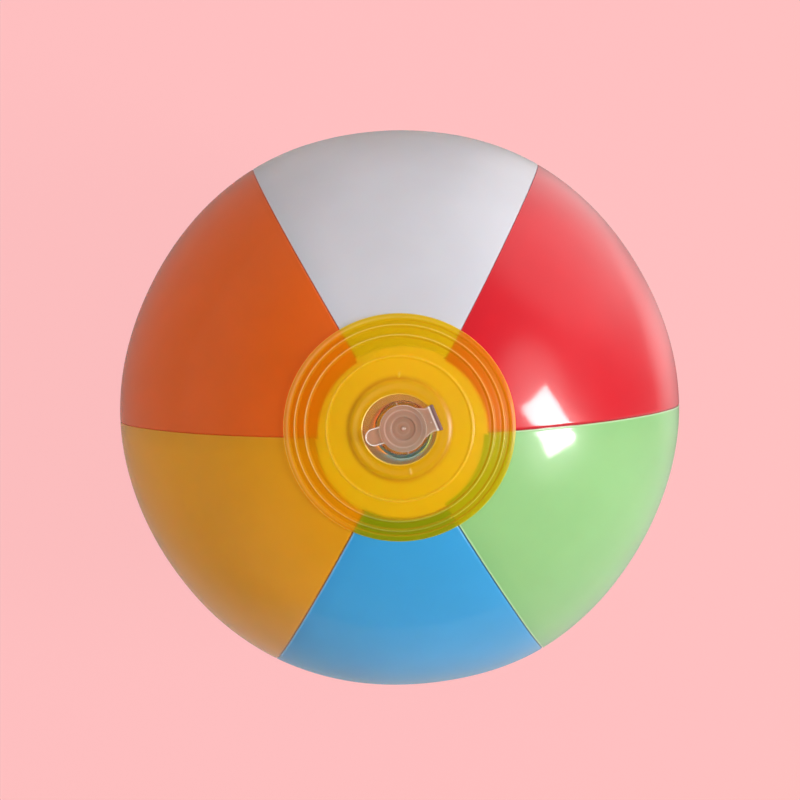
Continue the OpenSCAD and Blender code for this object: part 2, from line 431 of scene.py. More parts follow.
# frosted_vinyl's pale colour is its painted highlight and its dark colour its painted shade
frosted_vinyl = see_through("frosted_vinyl", lin(204, 172, 158), lin(255, 248, 244), lin(104, 80, 86), (0.96, 0.90, 0.82, 1), (0.95, 0.84, 0.72, 1), clear=0.52, milk=0.5, rough=0.14,
                            grain=((260, 0.00001, 2), (1500, 0.0000015, 1)), cloud=120)


# ---------------------------------------------------------------- the six panels
SEAMS = {0: -0.35, 60: -1.02, 120: -0.53, 180: 0.37, 240: 1.89, 300: -0.38}   # degrees off the even spacing
SHIFT = (1.45, 0.60)                                       # the panels meet a little off the valve's axis, degrees
roll = math.radians(-1.69)
shift_axis = np.array([SHIFT[0] * math.cos(roll) - SHIFT[1] * math.sin(roll),
                       SHIFT[0] * math.sin(roll) + SHIFT[1] * math.cos(roll), 0.0])
T = 0.2


def seam_angle(seam, theta):
    """Where a seam runs, in radians, at an angle from the pole."""
    fade = 1 - step(np.degrees(theta), 95, 160)
    return np.radians(seam + SEAMS[seam % 360] * fade)


def shifted(p, theta):
    """The small turn of the panels' pattern near the valve."""
    w = np.where(theta < math.pi / 2, np.cos(theta), 0) ** 2
    size = np.linalg.norm(shift_axis)
    k, a = shift_axis / size, (np.radians(size) * w)[..., None]
    return p * np.cos(a) + np.cross(np.broadcast_to(k, p.shape), p) * np.sin(a) + k * (p @ k)[..., None] * (1 - np.cos(a))


def swell(direction):
    """Outer radius of the blown-up panels in a direction: a trace of a hexagon, and the film's slight unevenness."""
    d = np.asarray(direction, float)
    az = np.arctan2(d[..., 1], d[..., 0])
    flat = d[..., 0] ** 2 + d[..., 1] ** 2
    r = R * (1 + 0.0042 * np.cos(6 * az) * flat)
    low = np.zeros(d.shape[:-1])
    for i in np.ndindex(low.shape):
        x, y, z = d[i]
        low[i] = noise.noise((x * 3.1 + 7, y * 3.1, z * 3.1)) * 0.16 + noise.noise((x * 8.5, y * 8.5 + 3, z * 8.5)) * 0.035
    return r + low


OVER = [0, 0.05, 0.12, 0.2, 0.3, 0.42, 0.58, 0.8, 1.15, 1.7, 2.6, 4.2, 7]
UNDER = [-3.6, -3.3, -2.2, -1.1, -0.25, -0.05, 0.05, 0.14, 0.24, 0.36, 0.5, 0.7, 0.95, 1.3, 1.8, 2.6, 4.2, 7]
ENDS = {"white": 24.0, "red": 23.0, "green": 21.5, "blue": 22.8, "yellow": 23.4, "orange": 22.9}


DEEP = {0: 0.8, 60: 0.12, 120: 0.45, 180: 0.2, 240: 0.9, 300: 1.0}       # how plainly each seam's line shows: the bead's height and the strength of its painted highlight and painted shade


def film_height(s, over, deep):
    """How far the outer side stands off the swelled ball, in mm, at a distance from the seam."""
    crease = -0.022 * bump(s, 0, 1.3)
    if over:
        return crease + 0.10 * deep * bump(s, 0.26, 0.17) - 0.10 * (1 - step(s, 0.0, 0.12))
    drop = 1 - step(s, 0.04 + 0.10 * deep, 0.34 + 0.5 * deep)
    return crease * step(s, -0.3, 0) - (T + 0.05) * drop


# the over panel's edge is pale, partly the cut edge's own paler colour and partly a painted highlight; the under
# panel's groove gets painted shade
def seam_edge_highlight_and_shade(s, over, deep):
    if over:
        return deep * bump(s, 0.18, 0.20)
    return np.where(s < -0.3, 0, -deep * bump(s, 0.14, 0.24))


def panel(colour, start, first_over, last_over, material):
    end = ENDS[colour] / R
    th = np.linspace(end, math.pi - end, 172)
    a, b = seam_angle(start, th), seam_angle((start + 60) % 360, th)
    b = np.where(b < a, b + 2 * math.pi, b)
    first, last = np.array(OVER if first_over else UNDER, float), np.array(OVER if last_over else UNDER, float)
    ring = R * np.sin(th)
    mid = np.linspace(0, 1, 24)[1:-1]
    cols_a = a[:, None] + first[None] / ring[:, None]
    cols_b = b[:, None] - last[None, ::-1] / ring[:, None]
    cols_m = cols_a[:, -1:] + (cols_b[:, :1] - cols_a[:, -1:]) * mid[None]
    az = np.concatenate([cols_a, cols_m, cols_b], axis=1)
    n = az.shape[1]
    da, db = DEEP[start], DEEP[(start + 60) % 360]
    height = np.concatenate([np.broadcast_to(film_height(first, first_over, da), cols_a.shape), np.zeros(cols_m.shape),
                             np.broadcast_to(film_height(last, last_over, db)[::-1], cols_b.shape)], axis=1)
    # painted highlight on each seam's cut edge, painted shade in its groove
    mark = np.concatenate([np.broadcast_to(seam_edge_highlight_and_shade(first, first_over, da), cols_a.shape), np.zeros(cols_m.shape),
                           np.broadcast_to(seam_edge_highlight_and_shade(last, last_over, db)[::-1], cols_b.shape)], axis=1)
    t2 = np.broadcast_to(th[:, None], az.shape)
    d = np.stack([np.sin(t2) * np.cos(az), np.sin(t2) * np.sin(az), np.cos(t2)], axis=-1)
    d = shifted(d, t2)
    r = swell(d) + height
    outer, inner = d * r[..., None], d * (r - T)[..., None]
    rows = len(th)
    pts = np.concatenate([outer.reshape(-1, 3), inner.reshape(-1, 3)])
    half = rows * n
    faces = grid_faces(rows, n, 0) + grid_faces(rows, n, half, flip=True)
    edge = [i * n for i in range(rows)]
    far = [i * n + n - 1 for i in range(rows)]
    for line, flip in ((edge, False), (far, True), (list(range(n)), True), (list(range(half - n, half)), False)):
        for p, q in zip(line[:-1], line[1:]):
            f = [p, q, half + q, half + p]
            faces.append(f[::-1] if flip else f)
    skin = (rows - 1) * (n - 1)
    lap = [0 if first_over else 1] * 4 + [0] * (n - 9) + [0 if last_over else 1] * 4          # hidden under the next panel
    obj = piece("panel_" + colour, pts, faces, [material, inside], lap * (rows - 1) + [1] * skin + [0] * (len(faces) - 2 * skin))
    outward(obj)
    # the seam attribute carries the seam lines' painted highlight and painted shade, weaker on the inner face
    attribute(obj, "seam", np.concatenate([mark.reshape(-1), mark.reshape(-1) * 0.4]))
    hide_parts("gore_" + colour)
    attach(obj, "ball")
    return obj


# on each seam one panel lies over the other's lap
panel("white", 60, False, True, film_white)
panel("red", 0, False, True, film_red)
panel("green", 300, True, True, film_green)
panel("blue", 240, True, False, film_blue)
panel("yellow", 180, True, False, film_yellow)
panel("orange", 120, False, False, film_orange)


# ---------------------------------------------------------------- the two end discs
DISC_IN, DISC_T = 100.14, 0.32
REACH = 32.1


def disc_height(s, seat):
    """Height of the disc's outer side over its sheet, in mm, along the surface from the pole."""
    h = 0.32 * bump(s, 28.7, 0.36) + 0.34 * bump(s, 25.7, 0.36) + 0.26 * bump(s, 19.7, 0.34)
    h = h - 0.05 * bump(s, 28.0, 0.3) - 0.05 * bump(s, 25.0, 0.3)
    h = h + 0.30 * step(s, 30.15, 30.7) - 0.12 * step(s, 31.2, 32.1)
    if seat:
        h = h + 0.42 * (1 - step(s, 12.9, 14.3)) + 0.05 * bump(s, 12.4, 0.5) + 0.12 * bump(s, 10.25, 0.28)
    return h


def disc_highlights_and_shade(s, seat):
    """Painted highlights on the crests and painted shade in the folds along the ribs, the rim and the step over the
    flange.
    """
    m = 0.62 * bump(s, 28.78, 0.25) - 0.42 * bump(s, 28.26, 0.24) - 0.16 * bump(s, 29.25, 0.22)
    m = m + 0.66 * bump(s, 25.78, 0.25) - 0.48 * bump(s, 25.26, 0.24) - 0.16 * bump(s, 26.25, 0.22)
    m = m + 0.24 * bump(s, 19.75, 0.18) - 0.20 * bump(s, 19.30, 0.24)
    m = m - 0.42 * bump(s, 30.22, 0.24) + 0.20 * bump(s, 30.95, 0.35) + 0.4 * bump(s, 31.95, 0.14)
    if seat:
        # over the flange: painted shade outside the step, a painted highlight on the collar and on the opening's edge,
        # and painted shade just inside it
        m = m - 0.52 * bump(s, 13.7, 0.72) + 0.12 * bump(s, 11.9, 1.0) + 0.75 * bump(s, 9.98, 0.13) - 0.10 * bump(s, 10.7, 0.5)
    return m


EASE = 0.0066                                              # the valve's disc was welded on a touch off the pole


def eased(pts):
    p = np.asarray(pts, float)
    c, s = math.cos(EASE), math.sin(EASE)
    return np.stack([p[:, 0], p[:, 1] * c - p[:, 2] * s, p[:, 1] * s + p[:, 2] * c], axis=1)


def on_panels(pts, side):
    """1 where a disc lies on the panels' ends, 0 over the hole inside them."""
    d = pts / np.linalg.norm(pts, axis=1)[:, None]
    if side > 0:
        size = np.linalg.norm(shift_axis)
        k, a = shift_axis / size, -math.radians(size)
        d = d * math.cos(a) + np.cross(np.broadcast_to(k, d.shape), d) * math.sin(a) + k * (d @ k)[:, None] * (1 - math.cos(a))
    s = R * np.arccos(np.clip(d[:, 2] * side, -1, 1))
    which = (np.degrees(np.arctan2(d[:, 1], d[:, 0])) % 360 // 60).astype(int) % 6
    end = np.array([ENDS[c] for c in ("red", "white", "orange", "yellow", "blue", "green")])[which]
    return step(s, end + 0.1, end + 0.8)


def end_disc(name, node, side, opening):
    lo = opening
    s = [lo, lo + 0.04, lo + 0.1, lo + 0.18, lo + 0.28, lo + 0.42, lo + 0.6] if lo else [0.4, 0.8, 1.4]
    s += list(np.arange((s[-1] + 0.4), 18.6, 0.45))
    s += list(np.arange(18.7, 20.8, 0.14)) + list(np.arange(21.1, 24.2, 0.45))
    s += list(np.arange(24.4, 26.9, 0.13)) + list(np.arange(27.0, 27.6, 0.3)) + list(np.arange(27.7, 29.9, 0.13))
    s += [30.0, 30.12, 30.24, 30.36, 30.48, 30.6, 30.75, 31.0, 31.3, 31.6, 31.8, 31.92, 32.02, 32.08, 32.1]
    s = np.array(sorted(set(round(float(x), 3) for x in s)))
    n = 240
    az = np.linspace(0, 2 * math.pi, n, endpoint=False)
    S, A = np.meshgrid(s, az, indexing="ij")
    h = np.broadcast_to(disc_height(s, bool(lo))[:, None], S.shape).copy()
    low = np.zeros(S.shape)
    gates = np.zeros(S.shape)
    if lo:
        low = low + 0.30 * (1 - step(S, 13.3, 13.9))       # the flange lifts it
        for at, r0, r1 in ((math.radians(89), 13.9, 15.3), (math.radians(283), 11.2, 12.6)):   # gate marks of the mould
            along = step(S, r0 - 0.2, r0 + 0.2) * (1 - step(S, r1 - 0.3, r1 + 0.3))
            across = np.exp(-(((A - at) * S / 0.22) ** 2))
            h = h + 0.16 * along * across
            gates = gates + 0.6 * along * across
    else:
        h = h + 0.25 * (1 - step(S, 0.7, 1.5))             # gate mark in the middle
    h = h + 0.012 * np.sin(3 * A + 0.6) * step(S, 18, 30) + 0.01 * np.sin(5 * A + 2) * step(S, 20, 32)
    lip = np.minimum(np.minimum(1.0, (S - s[0]) / 0.18 if lo else 1.0), (REACH - S) / 0.16)
    rim = 0.5 * DISC_T * (1 - np.sqrt(np.clip(1 - (1 - np.clip(lip, 0, 1)) ** 2, 0, 1)))
    th = S / R
    reach = 1 - 0.016 * np.sin(A) ** 2 * step(S, 14, 32)    # not quite round
    if lo:
        reach = reach - 0.05 * np.sin(A) ** 2 * (1 - step(S, 9.9, 13.5))
    th = th * reach
    up = np.stack([np.sin(th) * np.cos(A), np.sin(th) * np.sin(A), np.cos(th)], axis=-1)
    ro, ri = DISC_IN + DISC_T + h - rim, DISC_IN + low + rim
    outer, inner = up * ro[..., None], up * ri[..., None]
    pts = np.concatenate([outer.reshape(-1, 3), inner.reshape(-1, 3)])
    rows, half = len(s), len(s) * n
    faces = grid_faces(rows, n, 0, wrap=True, flip=True) + grid_faces(rows, n, half, wrap=True)
    last = (rows - 1) * n
    faces += [[last + (j + 1) % n, last + j, half + last + j, half + last + (j + 1) % n] for j in range(n)]
    if lo:
        faces += [[j, (j + 1) % n, half + (j + 1) % n, half + j] for j in range(n)]
    else:
        top = len(pts)
        pts = np.concatenate([pts, [[0, 0, DISC_IN + DISC_T + 0.25], [0, 0, DISC_IN]]])
        faces += [[top, (j + 1) % n, j] for j in range(n)] + [[top + 1, half + j, half + (j + 1) % n] for j in range(n)]
    marks = np.broadcast_to(disc_highlights_and_shade(s, bool(lo))[:, None], S.shape)
    # painted shade deeper towards one side and painted highlights stronger towards the other, following where the light
    # falls
    marks = np.where(marks < 0, marks * (1 + 0.55 * np.cos(A + 0.35) * step(S, 17, 20)), marks * (0.85 + 0.35 * np.cos(A - 2.9) + 0.2 * np.cos(2 * A)))
    marks = marks + gates + 0.26 * np.cos(A - 2.5) * bump(S, 31.1, 0.6)      # a painted highlight on the rim's weld, stronger on one side
    marks = marks.reshape(-1)
    marks = np.concatenate([marks, marks * 0, np.zeros(len(pts) - 2 * half)])
    if side < 0:
        pts = pts * np.array([1, -1, -1])
    else:
        pts = eased(pts)
    obj = piece(name, pts, faces, [disc_yellow])
    outward(obj)
    attribute(obj, "mark", marks)
    attribute(obj, "rim", on_panels(pts, side) * np.where(np.arange(len(pts)) < half, 0.5, 1.0))
    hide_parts(node)
    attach(obj, "ball")
    return obj


end_disc("end_disc_valve", "valve_end_disc", 1, 9.9)
end_disc("end_disc_far", "far_end_disc", -1, 0)


# ---------------------------------------------------------------- the valve
def on_ball(r, s):
    return [r * math.sin(s / R), r * math.cos(s / R)]


OFF = np.array([1.0, -0.35])                               # the stem, cap and strap in the soft boot, off the middle, mm


def off_middle(pts, w=1.0):
    p = np.array(pts, float)
    p[:, 0] += OFF[0] * w
    p[:, 1] += OFF[1] * w
    return p


# flange: a dished ring under the valve's disc, with a rounded throat
top = [on_ball(FLANGE_TOP, s) for s in np.linspace(9.3, 13.2, 10)]
low = [on_ball(FLANGE_TOP - 0.8, s) for s in np.linspace(13.2, 9.3, 10)]
prof = [[7.50, 99.42], [7.56, 99.62], [7.72, 99.78], [7.98, 99.86], [8.6, 99.90], [9.0, 99.90]] + top + low + [[8.6, 99.04], [7.9, 99.08], [7.66, 99.14], [7.53, 99.25]]


def dished(pts):
    r = np.hypot(pts[:, 0], pts[:, 1])
    w = 1 - step(r, 7.4, 9.9)
    out = off_middle(pts, 0.8 * w)
    out[:, 1] *= 1 - 0.03 * (1 - w)
    return eased(out)


flange = revolved("valve_flange_ring", prof, [clear_vinyl], n=192, shape=dished)
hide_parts("valve_flange")
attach(flange, "ball")


# boot: thin, rolls from the throat down to the stem, with the two flash lines of its mould
def boot_line(t):
    """Middle of the boot's wall, from the throat, t 0, to the stem, t 1."""
    r = 7.28 + (4.62 - 7.28) * t
    z = 99.33 + (HOLD - 0.18 - 99.33) * (t ** 1.35)
    z = z - 0.55 * math.sin(math.pi * t) ** 2
    return np.array([r, z])


ts = np.linspace(0, 1, 34)
line = np.array([boot_line(t) for t in ts])
tan = np.gradient(line, axis=0)
tan /= np.linalg.norm(tan, axis=1)[:, None]
nor = np.stack([-tan[:, 1], tan[:, 0]], axis=1)
nor *= np.sign(nor[:, 1])[:, None]
wall = 0.22 + 0.05 * np.cos(ts * math.pi)
foot = [[4.24, HOLD - 0.02], [4.24, HOLD - 0.48]]
upper, under = line + nor * wall[:, None], line - nor * wall[:, None]
prof = list(upper) + foot + list(under[::-1])


def flash(pts):
    out = pts.copy()
    az = np.arctan2(pts[:, 1], pts[:, 0])
    rr = np.hypot(pts[:, 0], pts[:, 1])
    for at in (102, 281):
        d = (az - math.radians(at) + math.pi) % (2 * math.pi) - math.pi
        w = np.exp(-((d * rr / 0.20) ** 2)) * step(rr, 4.9, 5.4) * (1 - step(rr, 7.1, 7.26))
        side = np.zeros(len(pts))
        side[:len(upper) * N_BOOT] = 1
        out[:, 2] += 0.20 * w * side
    return off_middle(out, 1 - 0.2 * step(rr, 4.7, 7.3))


N_BOOT = 300
boot = revolved("valve_boot_roll", prof, [clear_vinyl], n=N_BOOT, shape=flash)
flat = revolved_points(prof, N_BOOT)
lines = flash(flat)[:, 2] - flat[:, 2]
attribute(boot, "mark", lines / 0.20)
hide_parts("valve_boot")

# stem: tube with the rim at its mouth, the plug's seat, the bore and the flap's bracket
prof = [[4.2, 88.35], [4.2, 100.3], [5.15, 100.4], [5.2, MOUTH], [3.3, MOUTH], [3.3, MOUTH - 5], [2.9, MOUTH - 5.1], [2.9, 88.3]]
stem = revolved("valve_stem_tube", filleted(prof, [0.2, 0.25, 0.12, 0.2, 0.25, 0.15, 0.1, 0.2]), [clear_vinyl], n=128, shape=off_middle)
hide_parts("valve_stem")
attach(stem, "valve_stem")


def turned(pts, angle=STRAP_AZ):
    p = np.asarray(pts, float)
    c, s = math.cos(angle), math.sin(angle)
    return off_middle(np.stack([p[:, 0] * c - p[:, 1] * s, p[:, 0] * s + p[:, 1] * c, p[:, 2]], axis=1))


def slab(name, outline, z0, z1, materials, edge=0.08, n=3):
    """A plate of an outline, counter-clockwise [x, y], with rounded edges."""
    o = np.asarray(outline, float)
    nxt, prv = np.roll(o, -1, 0), np.roll(o, 1, 0)
    t = nxt - prv
    t /= np.linalg.norm(t, axis=1)[:, None]
    inward = np.stack([-t[:, 1], t[:, 0]], axis=1)
    rings = []
    for a in np.linspace(0, math.pi / 2, n + 1):
        rings.append((edge * (1 - math.sin(a)), z0 + edge * (1 - math.cos(a))))
    rings += [(edge * (1 - math.cos(a)), z1 - edge * (1 - math.sin(a))) for a in np.linspace(0, math.pi / 2, n + 1)]
    pts, m = [], len(o)
    for inset, z in rings:
        pts += [[*(p + q * inset), z] for p, q in zip(o, inward)]
    faces = grid_faces(len(rings), m, wrap=True)
    faces += [list(range(m))[::-1], [(len(rings) - 1) * m + j for j in range(m)]]
    return np.array(pts, float), faces


# bracket that carries the flap
pts, faces = slab("b", [[-4.75, -1.15], [-4.1, -1.15], [-4.02, -0.9], [-4.02, 0.9], [-4.1, 1.15], [-4.75, 1.15], [-4.8, 0.9], [-4.8, -0.9]], STEM_END, 89.2, None, edge=0.12)
bracket = piece("flap_bracket", turned(pts), faces, [clear_vinyl])
outward(bracket)
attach(bracket, "valve_stem")

# check flap
def tongue():
    out = []
    for a in np.linspace(-150, 150, 61):
        out.append([3.8 * math.cos(math.radians(a)), 3.8 * math.sin(math.radians(a))])
    return out + [[-3.7, 1.2], [-3.95, 1.05], [-3.98, 0], [-3.95, -1.05], [-3.7, -1.2]]


pts, faces = slab("f", tongue(), FLAP_LOW, FLAP_TOP, None, edge=0.1)
flap = piece("check_flap_disc", turned(pts), faces, [frosted_vinyl])
outward(flap)
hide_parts("check_flap")
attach(flap, "check_flap")


# strap: one moulded ribbon from the stem's rim, round the fold and back to the cap
def strap():
    mid_low, mid_up = MOUTH - 0.3, STRAP_TOP - 0.3
    gap_z = (mid_low + mid_up) / 2
    rz, rx = (mid_up - mid_low) / 2, 0.95                  # the fold's middle line
    x_c = FOLD_R - 0.3 - rx
    path = [(x, mid_low, 0.0) for x in np.linspace(5.24, x_c, 22)[:-1]]
    path += [(x_c + rx * math.cos(a), gap_z + rz * math.sin(a), 0.5 + a / math.pi) for a in np.linspace(-math.pi / 2, math.pi / 2, 25)]
    path += [(x, mid_up, 1.0) for x in np.linspace(x_c, 6.2, 22)[1:]]
    path = np.array(path)
    xz = path[:, :2]
    t = np.gradient(xz, axis=0)
    t /= np.linalg.norm(t, axis=1)[:, None]
    nrm = np.stack([t[:, 1], -t[:, 0]], axis=1)            # outwards round the fold
    half = 0.3
    # one rounded section, as (share across, share through)
    sec = []
    for k in np.linspace(-1, 1, 25):
        sec.append((k, 1.0))
    for a in np.linspace(90, -90, 9)[1:-1]:
        sec.append((1 + 0.28 / 3.2 * math.cos(math.radians(a)), math.sin(math.radians(a))))
    for k in np.linspace(1, -1, 25):
        sec.append((k, -1.0))
    for a in np.linspace(-90, 90, 9)[1:-1]:
        sec.append((-1 - 0.28 / 3.2 * math.cos(math.radians(a)), math.sin(math.radians(a))))
    m, pts, marks = len(sec), [], []
    for i, (x, z, w) in enumerate(path):
        wide = 3.17 + 0.5 * step(x, 6.2, FOLD_R) - 0.28
        if w == 0.0:
            wide += 0.9 * (1 - step(x, 5.24, 6.6)) * 0.55
        if w == 1.0:
            wide += 1.15 * (1 - step(x, 6.2, 8.1)) ** 2
        for k, u in sec:
            y = wide * k
            rail = 0.10 * bump(abs(k), 0.93, 0.10) if (u > 0 and w == 1.0) else 0.0      # raised long edges
            px, pz = x + nrm[i, 0] * half * u, z + nrm[i, 1] * half * u
            if w == 1.0 and u > 0:
                pz += rail * 0.6
            if w == 1.0:                                    # its end follows the cap's round edge
                pull = 1 - step(x, 6.2, 8.1)
                px -= pull * (6.2 - math.sqrt(max(6.2 ** 2 - y * y, 0))) if abs(y) < 6.2 else 0
            if w == 0.0:
                pull = 1 - step(x, 5.24, 6.6)
                px -= pull * (5.24 - math.sqrt(max(5.24 ** 2 - y * y, 0)))
            px -= 0.075 * y * float(step(x, 6.0, x_c))
            pts.append([px, y, pz])
            # painted highlight along the fold's crest, painted shade on the fold beyond it and on the lower half of the
            # bend, painted highlights along the upper leg's long edges and in two small spots
            mark = 0.0
            if w > 0.5:
                mark = 0.95 * float(bump(x, x_c - 0.12, 0.20)) - 0.9 * float(step(x, x_c + 0.12, x_c + 0.27))
            elif w > 0:
                mark = -0.9 * float(step(w, 0.3, 0.5))
            if w > 0.9 and u > 0:
                mark += 0.55 * float(bump(abs(k), 0.985, 0.04)) + 0.8 * float(bump(x, 7.55, 0.16) * bump(y, -0.75, 0.2))
                mark += 0.22 * float(bump(x, 6.0, 0.13) * (1 - step(abs(y), 1.0, 1.5)))
            marks.append(mark)
    faces = grid_faces(len(path), m, wrap=True)
    n = len(path)
    faces += [list(range(m))[::-1], [(n - 1) * m + j for j in range(m)]]
    obj = piece("valve_strap", turned(pts, STRAP_AZ + math.radians(1.8)), faces, [frosted_vinyl])
    outward(obj)
    attribute(obj, "mark", marks)
    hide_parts("strap_lower_leg", "strap_upper_leg")
    return obj, gap_z


strap_piece, GAP_Z = strap()


# cap: round top with its ring, dished middle and nub, the tapered plug under it, and the pull tab opposite the strap
def cap():
    n = 360
    az = np.linspace(0, 2 * math.pi, n, endpoint=False)
    rc, low = 6.32, MOUTH + 0.04
    # outline: the round top, or the tab where it reaches further
    c, s = np.cos(az), np.sin(az)
    w, tip = 2.38, 10.5
    centre = tip - w
    disc = (centre * c) ** 2 - centre ** 2 + w * w
    round_end = np.where((disc > 0) & (c > 0), centre * c + np.sqrt(np.clip(disc, 0, None)), 0)
    side = np.where(c > 0.2, w / np.maximum(np.abs(s), 1e-6), 0)
    tab = np.where(c > 0, np.where(side * c < centre, side, round_end), 0)
    tab = np.where((c > 0) & (np.abs(s) * centre < w * c + 1e-9), np.maximum(round_end, np.minimum(tab, 99)), tab)
    reach = np.maximum(rc, tab)
    k = np.exp(-np.linspace(-3, 3, 9) ** 2 / 2.2)
    k /= k.sum()
    soft = sum(kk * np.roll(reach, j - 4) for j, kk in enumerate(k))
    reach = np.where(reach > rc + 1.6, reach, soft)
    rings_top = [0.12, 0.3, 0.45, 0.6, 0.8, 1.0, 1.3, 1.7, 2.1, 2.5, 2.85, 3.0, 3.15, 3.3, 3.5, 3.9, 4.3, 4.6, 4.8, 4.95, 5.1, 5.3, 5.55, 5.75, 5.9]
    pts, marks = [], []
    top_z = CAP_TOP

    def cap_top(r):
        z = -0.15 + 0.15 * step(r, 4.75, 5.1) - 0.30 * (1 - step(r, 2.95, 3.35))
        z += 0.30 * (1 - step(r, 0.35, 0.75)) - 0.10 * bump(r, 1.75, 0.18)
        return top_z + z

    for r in rings_top:
        # painted highlights and painted shade on the cap's rings, and a painted glint on its nub
        painted_light = 0.34 * float(bump(r, 5.02, 0.14)) - 0.30 * float(bump(r, 3.08, 0.16)) + 0.22 * float(bump(r, 3.38, 0.14))
        painted_light += 0.16 * float(bump(r, 1.78, 0.16)) + 0.7 * (1 - float(step(r, 0.15, 0.5))) - 0.3 * float(bump(r, 0.66, 0.14))
        for j in range(n):
            pts.append([r * c[j], r * s[j], float(cap_top(r))])
            marks.append(painted_light)
    # from the cap's edge to the outline: over the tab it drops to the thin web, then rises to the bead
    steps = 34
    for i in range(1, steps + 1):
        f = i / steps
        for j in range(n):
            out = reach[j] - 0.02
            r = 5.9 + (out - 0.10 - 5.9) * f
            on_tab = float(step(reach[j], rc + 0.12, rc + 0.9))
            # distance from the outline, measured across it
            x, y = r * c[j], r * s[j]
            if x > centre:
                inside = w - math.hypot(x - centre, y)
            else:
                inside = w - abs(y)
            inside = max(inside, 0)
            bead = 0.75 * (1 - float(step(abs(inside - 0.21), 0.08, 0.27)))
            web = 0.28
            past = float(step(r, 6.0, 6.5))
            z_tab = low + max(web, bead, 0.75 * (1 - float(step(r, 6.3, 7.0))) if r < 7 else 0)
            round_off = 0.10 * f ** 6
            z = (1 - on_tab * past) * (top_z - round_off) + on_tab * past * z_tab
            pts.append([x, y, z])
            # painted highlight towards the cap's edge and along the tab's bead
            rim = 0.55 * float(step(f, 0.55, 0.95))
            marks.append((1 - on_tab) * rim + on_tab * (0.95 * (1 - float(step(abs(inside - 0.19), 0.06, 0.24))) * past + 0.30 * float(bump(r, 6.35, 0.15))))
    # rounded edge and underside; the edge carries a painted highlight
    for inset, dz in ((0.03, -0.04), (0.0, -0.14), (0.0, -0.24), (0.04, -0.30)):
        for j in range(n):
            on_tab = float(step(reach[j], rc + 0.12, rc + 0.9))
            deep = 1.0 * (1 - on_tab) + 0.62 * on_tab
            r = reach[j] - inset
            z = low + deep + dz * deep / 0.32 * 0.95 - 0.03
            pts.append([r * c[j], r * s[j], max(z, low)])
            marks.append(0.55 + 0.35 * on_tab)
    for f in (0.97, 0.9):
        for j in range(n):
            r = 5.0 + (reach[j] - 5.0) * f
            pts.append([r * c[j], r * s[j], low])
    for r, z in ((5.0, low), (4.2, low), (3.6, low), (3.34, low - 0.02), (3.24, low - 0.12), (3.18, low - 0.6),
                 (3.02, MOUTH - 1.7), (2.84, MOUTH - 2.8), (2.62, MOUTH - 3.7), (2.52, PLUG_TIP + 0.34), (2.44, PLUG_TIP + 0.12), (2.2, PLUG_TIP), (1.5, PLUG_TIP), (0.6, PLUG_TIP)):
        for j in range(n):
            pts.append([r * c[j], r * s[j], z])
    rows = len(pts) // n
    faces = grid_faces(rows, n, wrap=True)
    a = len(pts)
    pts += [[0, 0, top_z], [0, 0, PLUG_TIP]]
    faces += [[a, (j + 1) % n, j] for j in range(n)]
    base = (rows - 1) * n
    faces += [[a + 1, base + j, base + (j + 1) % n] for j in range(n)]
    obj = piece("valve_cap_and_tab", turned(pts, STRAP_AZ + math.pi), faces, [frosted_vinyl])
    outward(obj)
    attribute(obj, "mark", marks + [0.0] * (len(pts) - len(marks)))
    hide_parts("valve_cap", "pull_tab")
    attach(obj, "cap")
    return obj


cap_piece = cap()

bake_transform(boot)
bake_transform(strap_piece)


# ---------------------------------------------------------------- floor, sky and lamps
PINK = lin(255, 191, 192)


def patch(nt, direction, az, el, start, strength):
    """A soft bright patch: strength in the middle, nothing outside."""
    near = nt.nodes.new("ShaderNodeVectorMath")
    near.operation = "DOT_PRODUCT"
    near.inputs[1].default_value = tuple(towards(az, el))
    nt.links.new(direction, near.inputs[0])
    halo = nt.nodes.new("ShaderNodeMapRange")
    halo.interpolation_type = "SMOOTHERSTEP"
    halo.inputs["From Min"].default_value, halo.inputs["From Max"].default_value = start
    halo.inputs["To Min"].default_value, halo.inputs["To Max"].default_value = 0.0, strength
    nt.links.new(near.outputs["Value"], halo.inputs["Value"])
    return halo.outputs["Result"]


SIDE_PATCH = (49, -1, (0.82, 0.97), 0.85)


def gap(nt, parts):
    """1 all round, less towards the picture's right, where nothing bright stands. parts is a split direction or place."""
    az = nt.nodes.new("ShaderNodeMath")
    az.operation = "ARCTAN2"
    nt.links.new(parts.outputs["Y"], az.inputs[0])
    nt.links.new(parts.outputs["X"], az.inputs[1])
    off = nt.nodes.new("ShaderNodeMath")
    off.operation = "ABSOLUTE"
    nt.links.new(az.outputs[0], off.inputs[0])
    return ranged(nt, off.outputs[0], 0.45, 1.0, 0.05, 0.30)


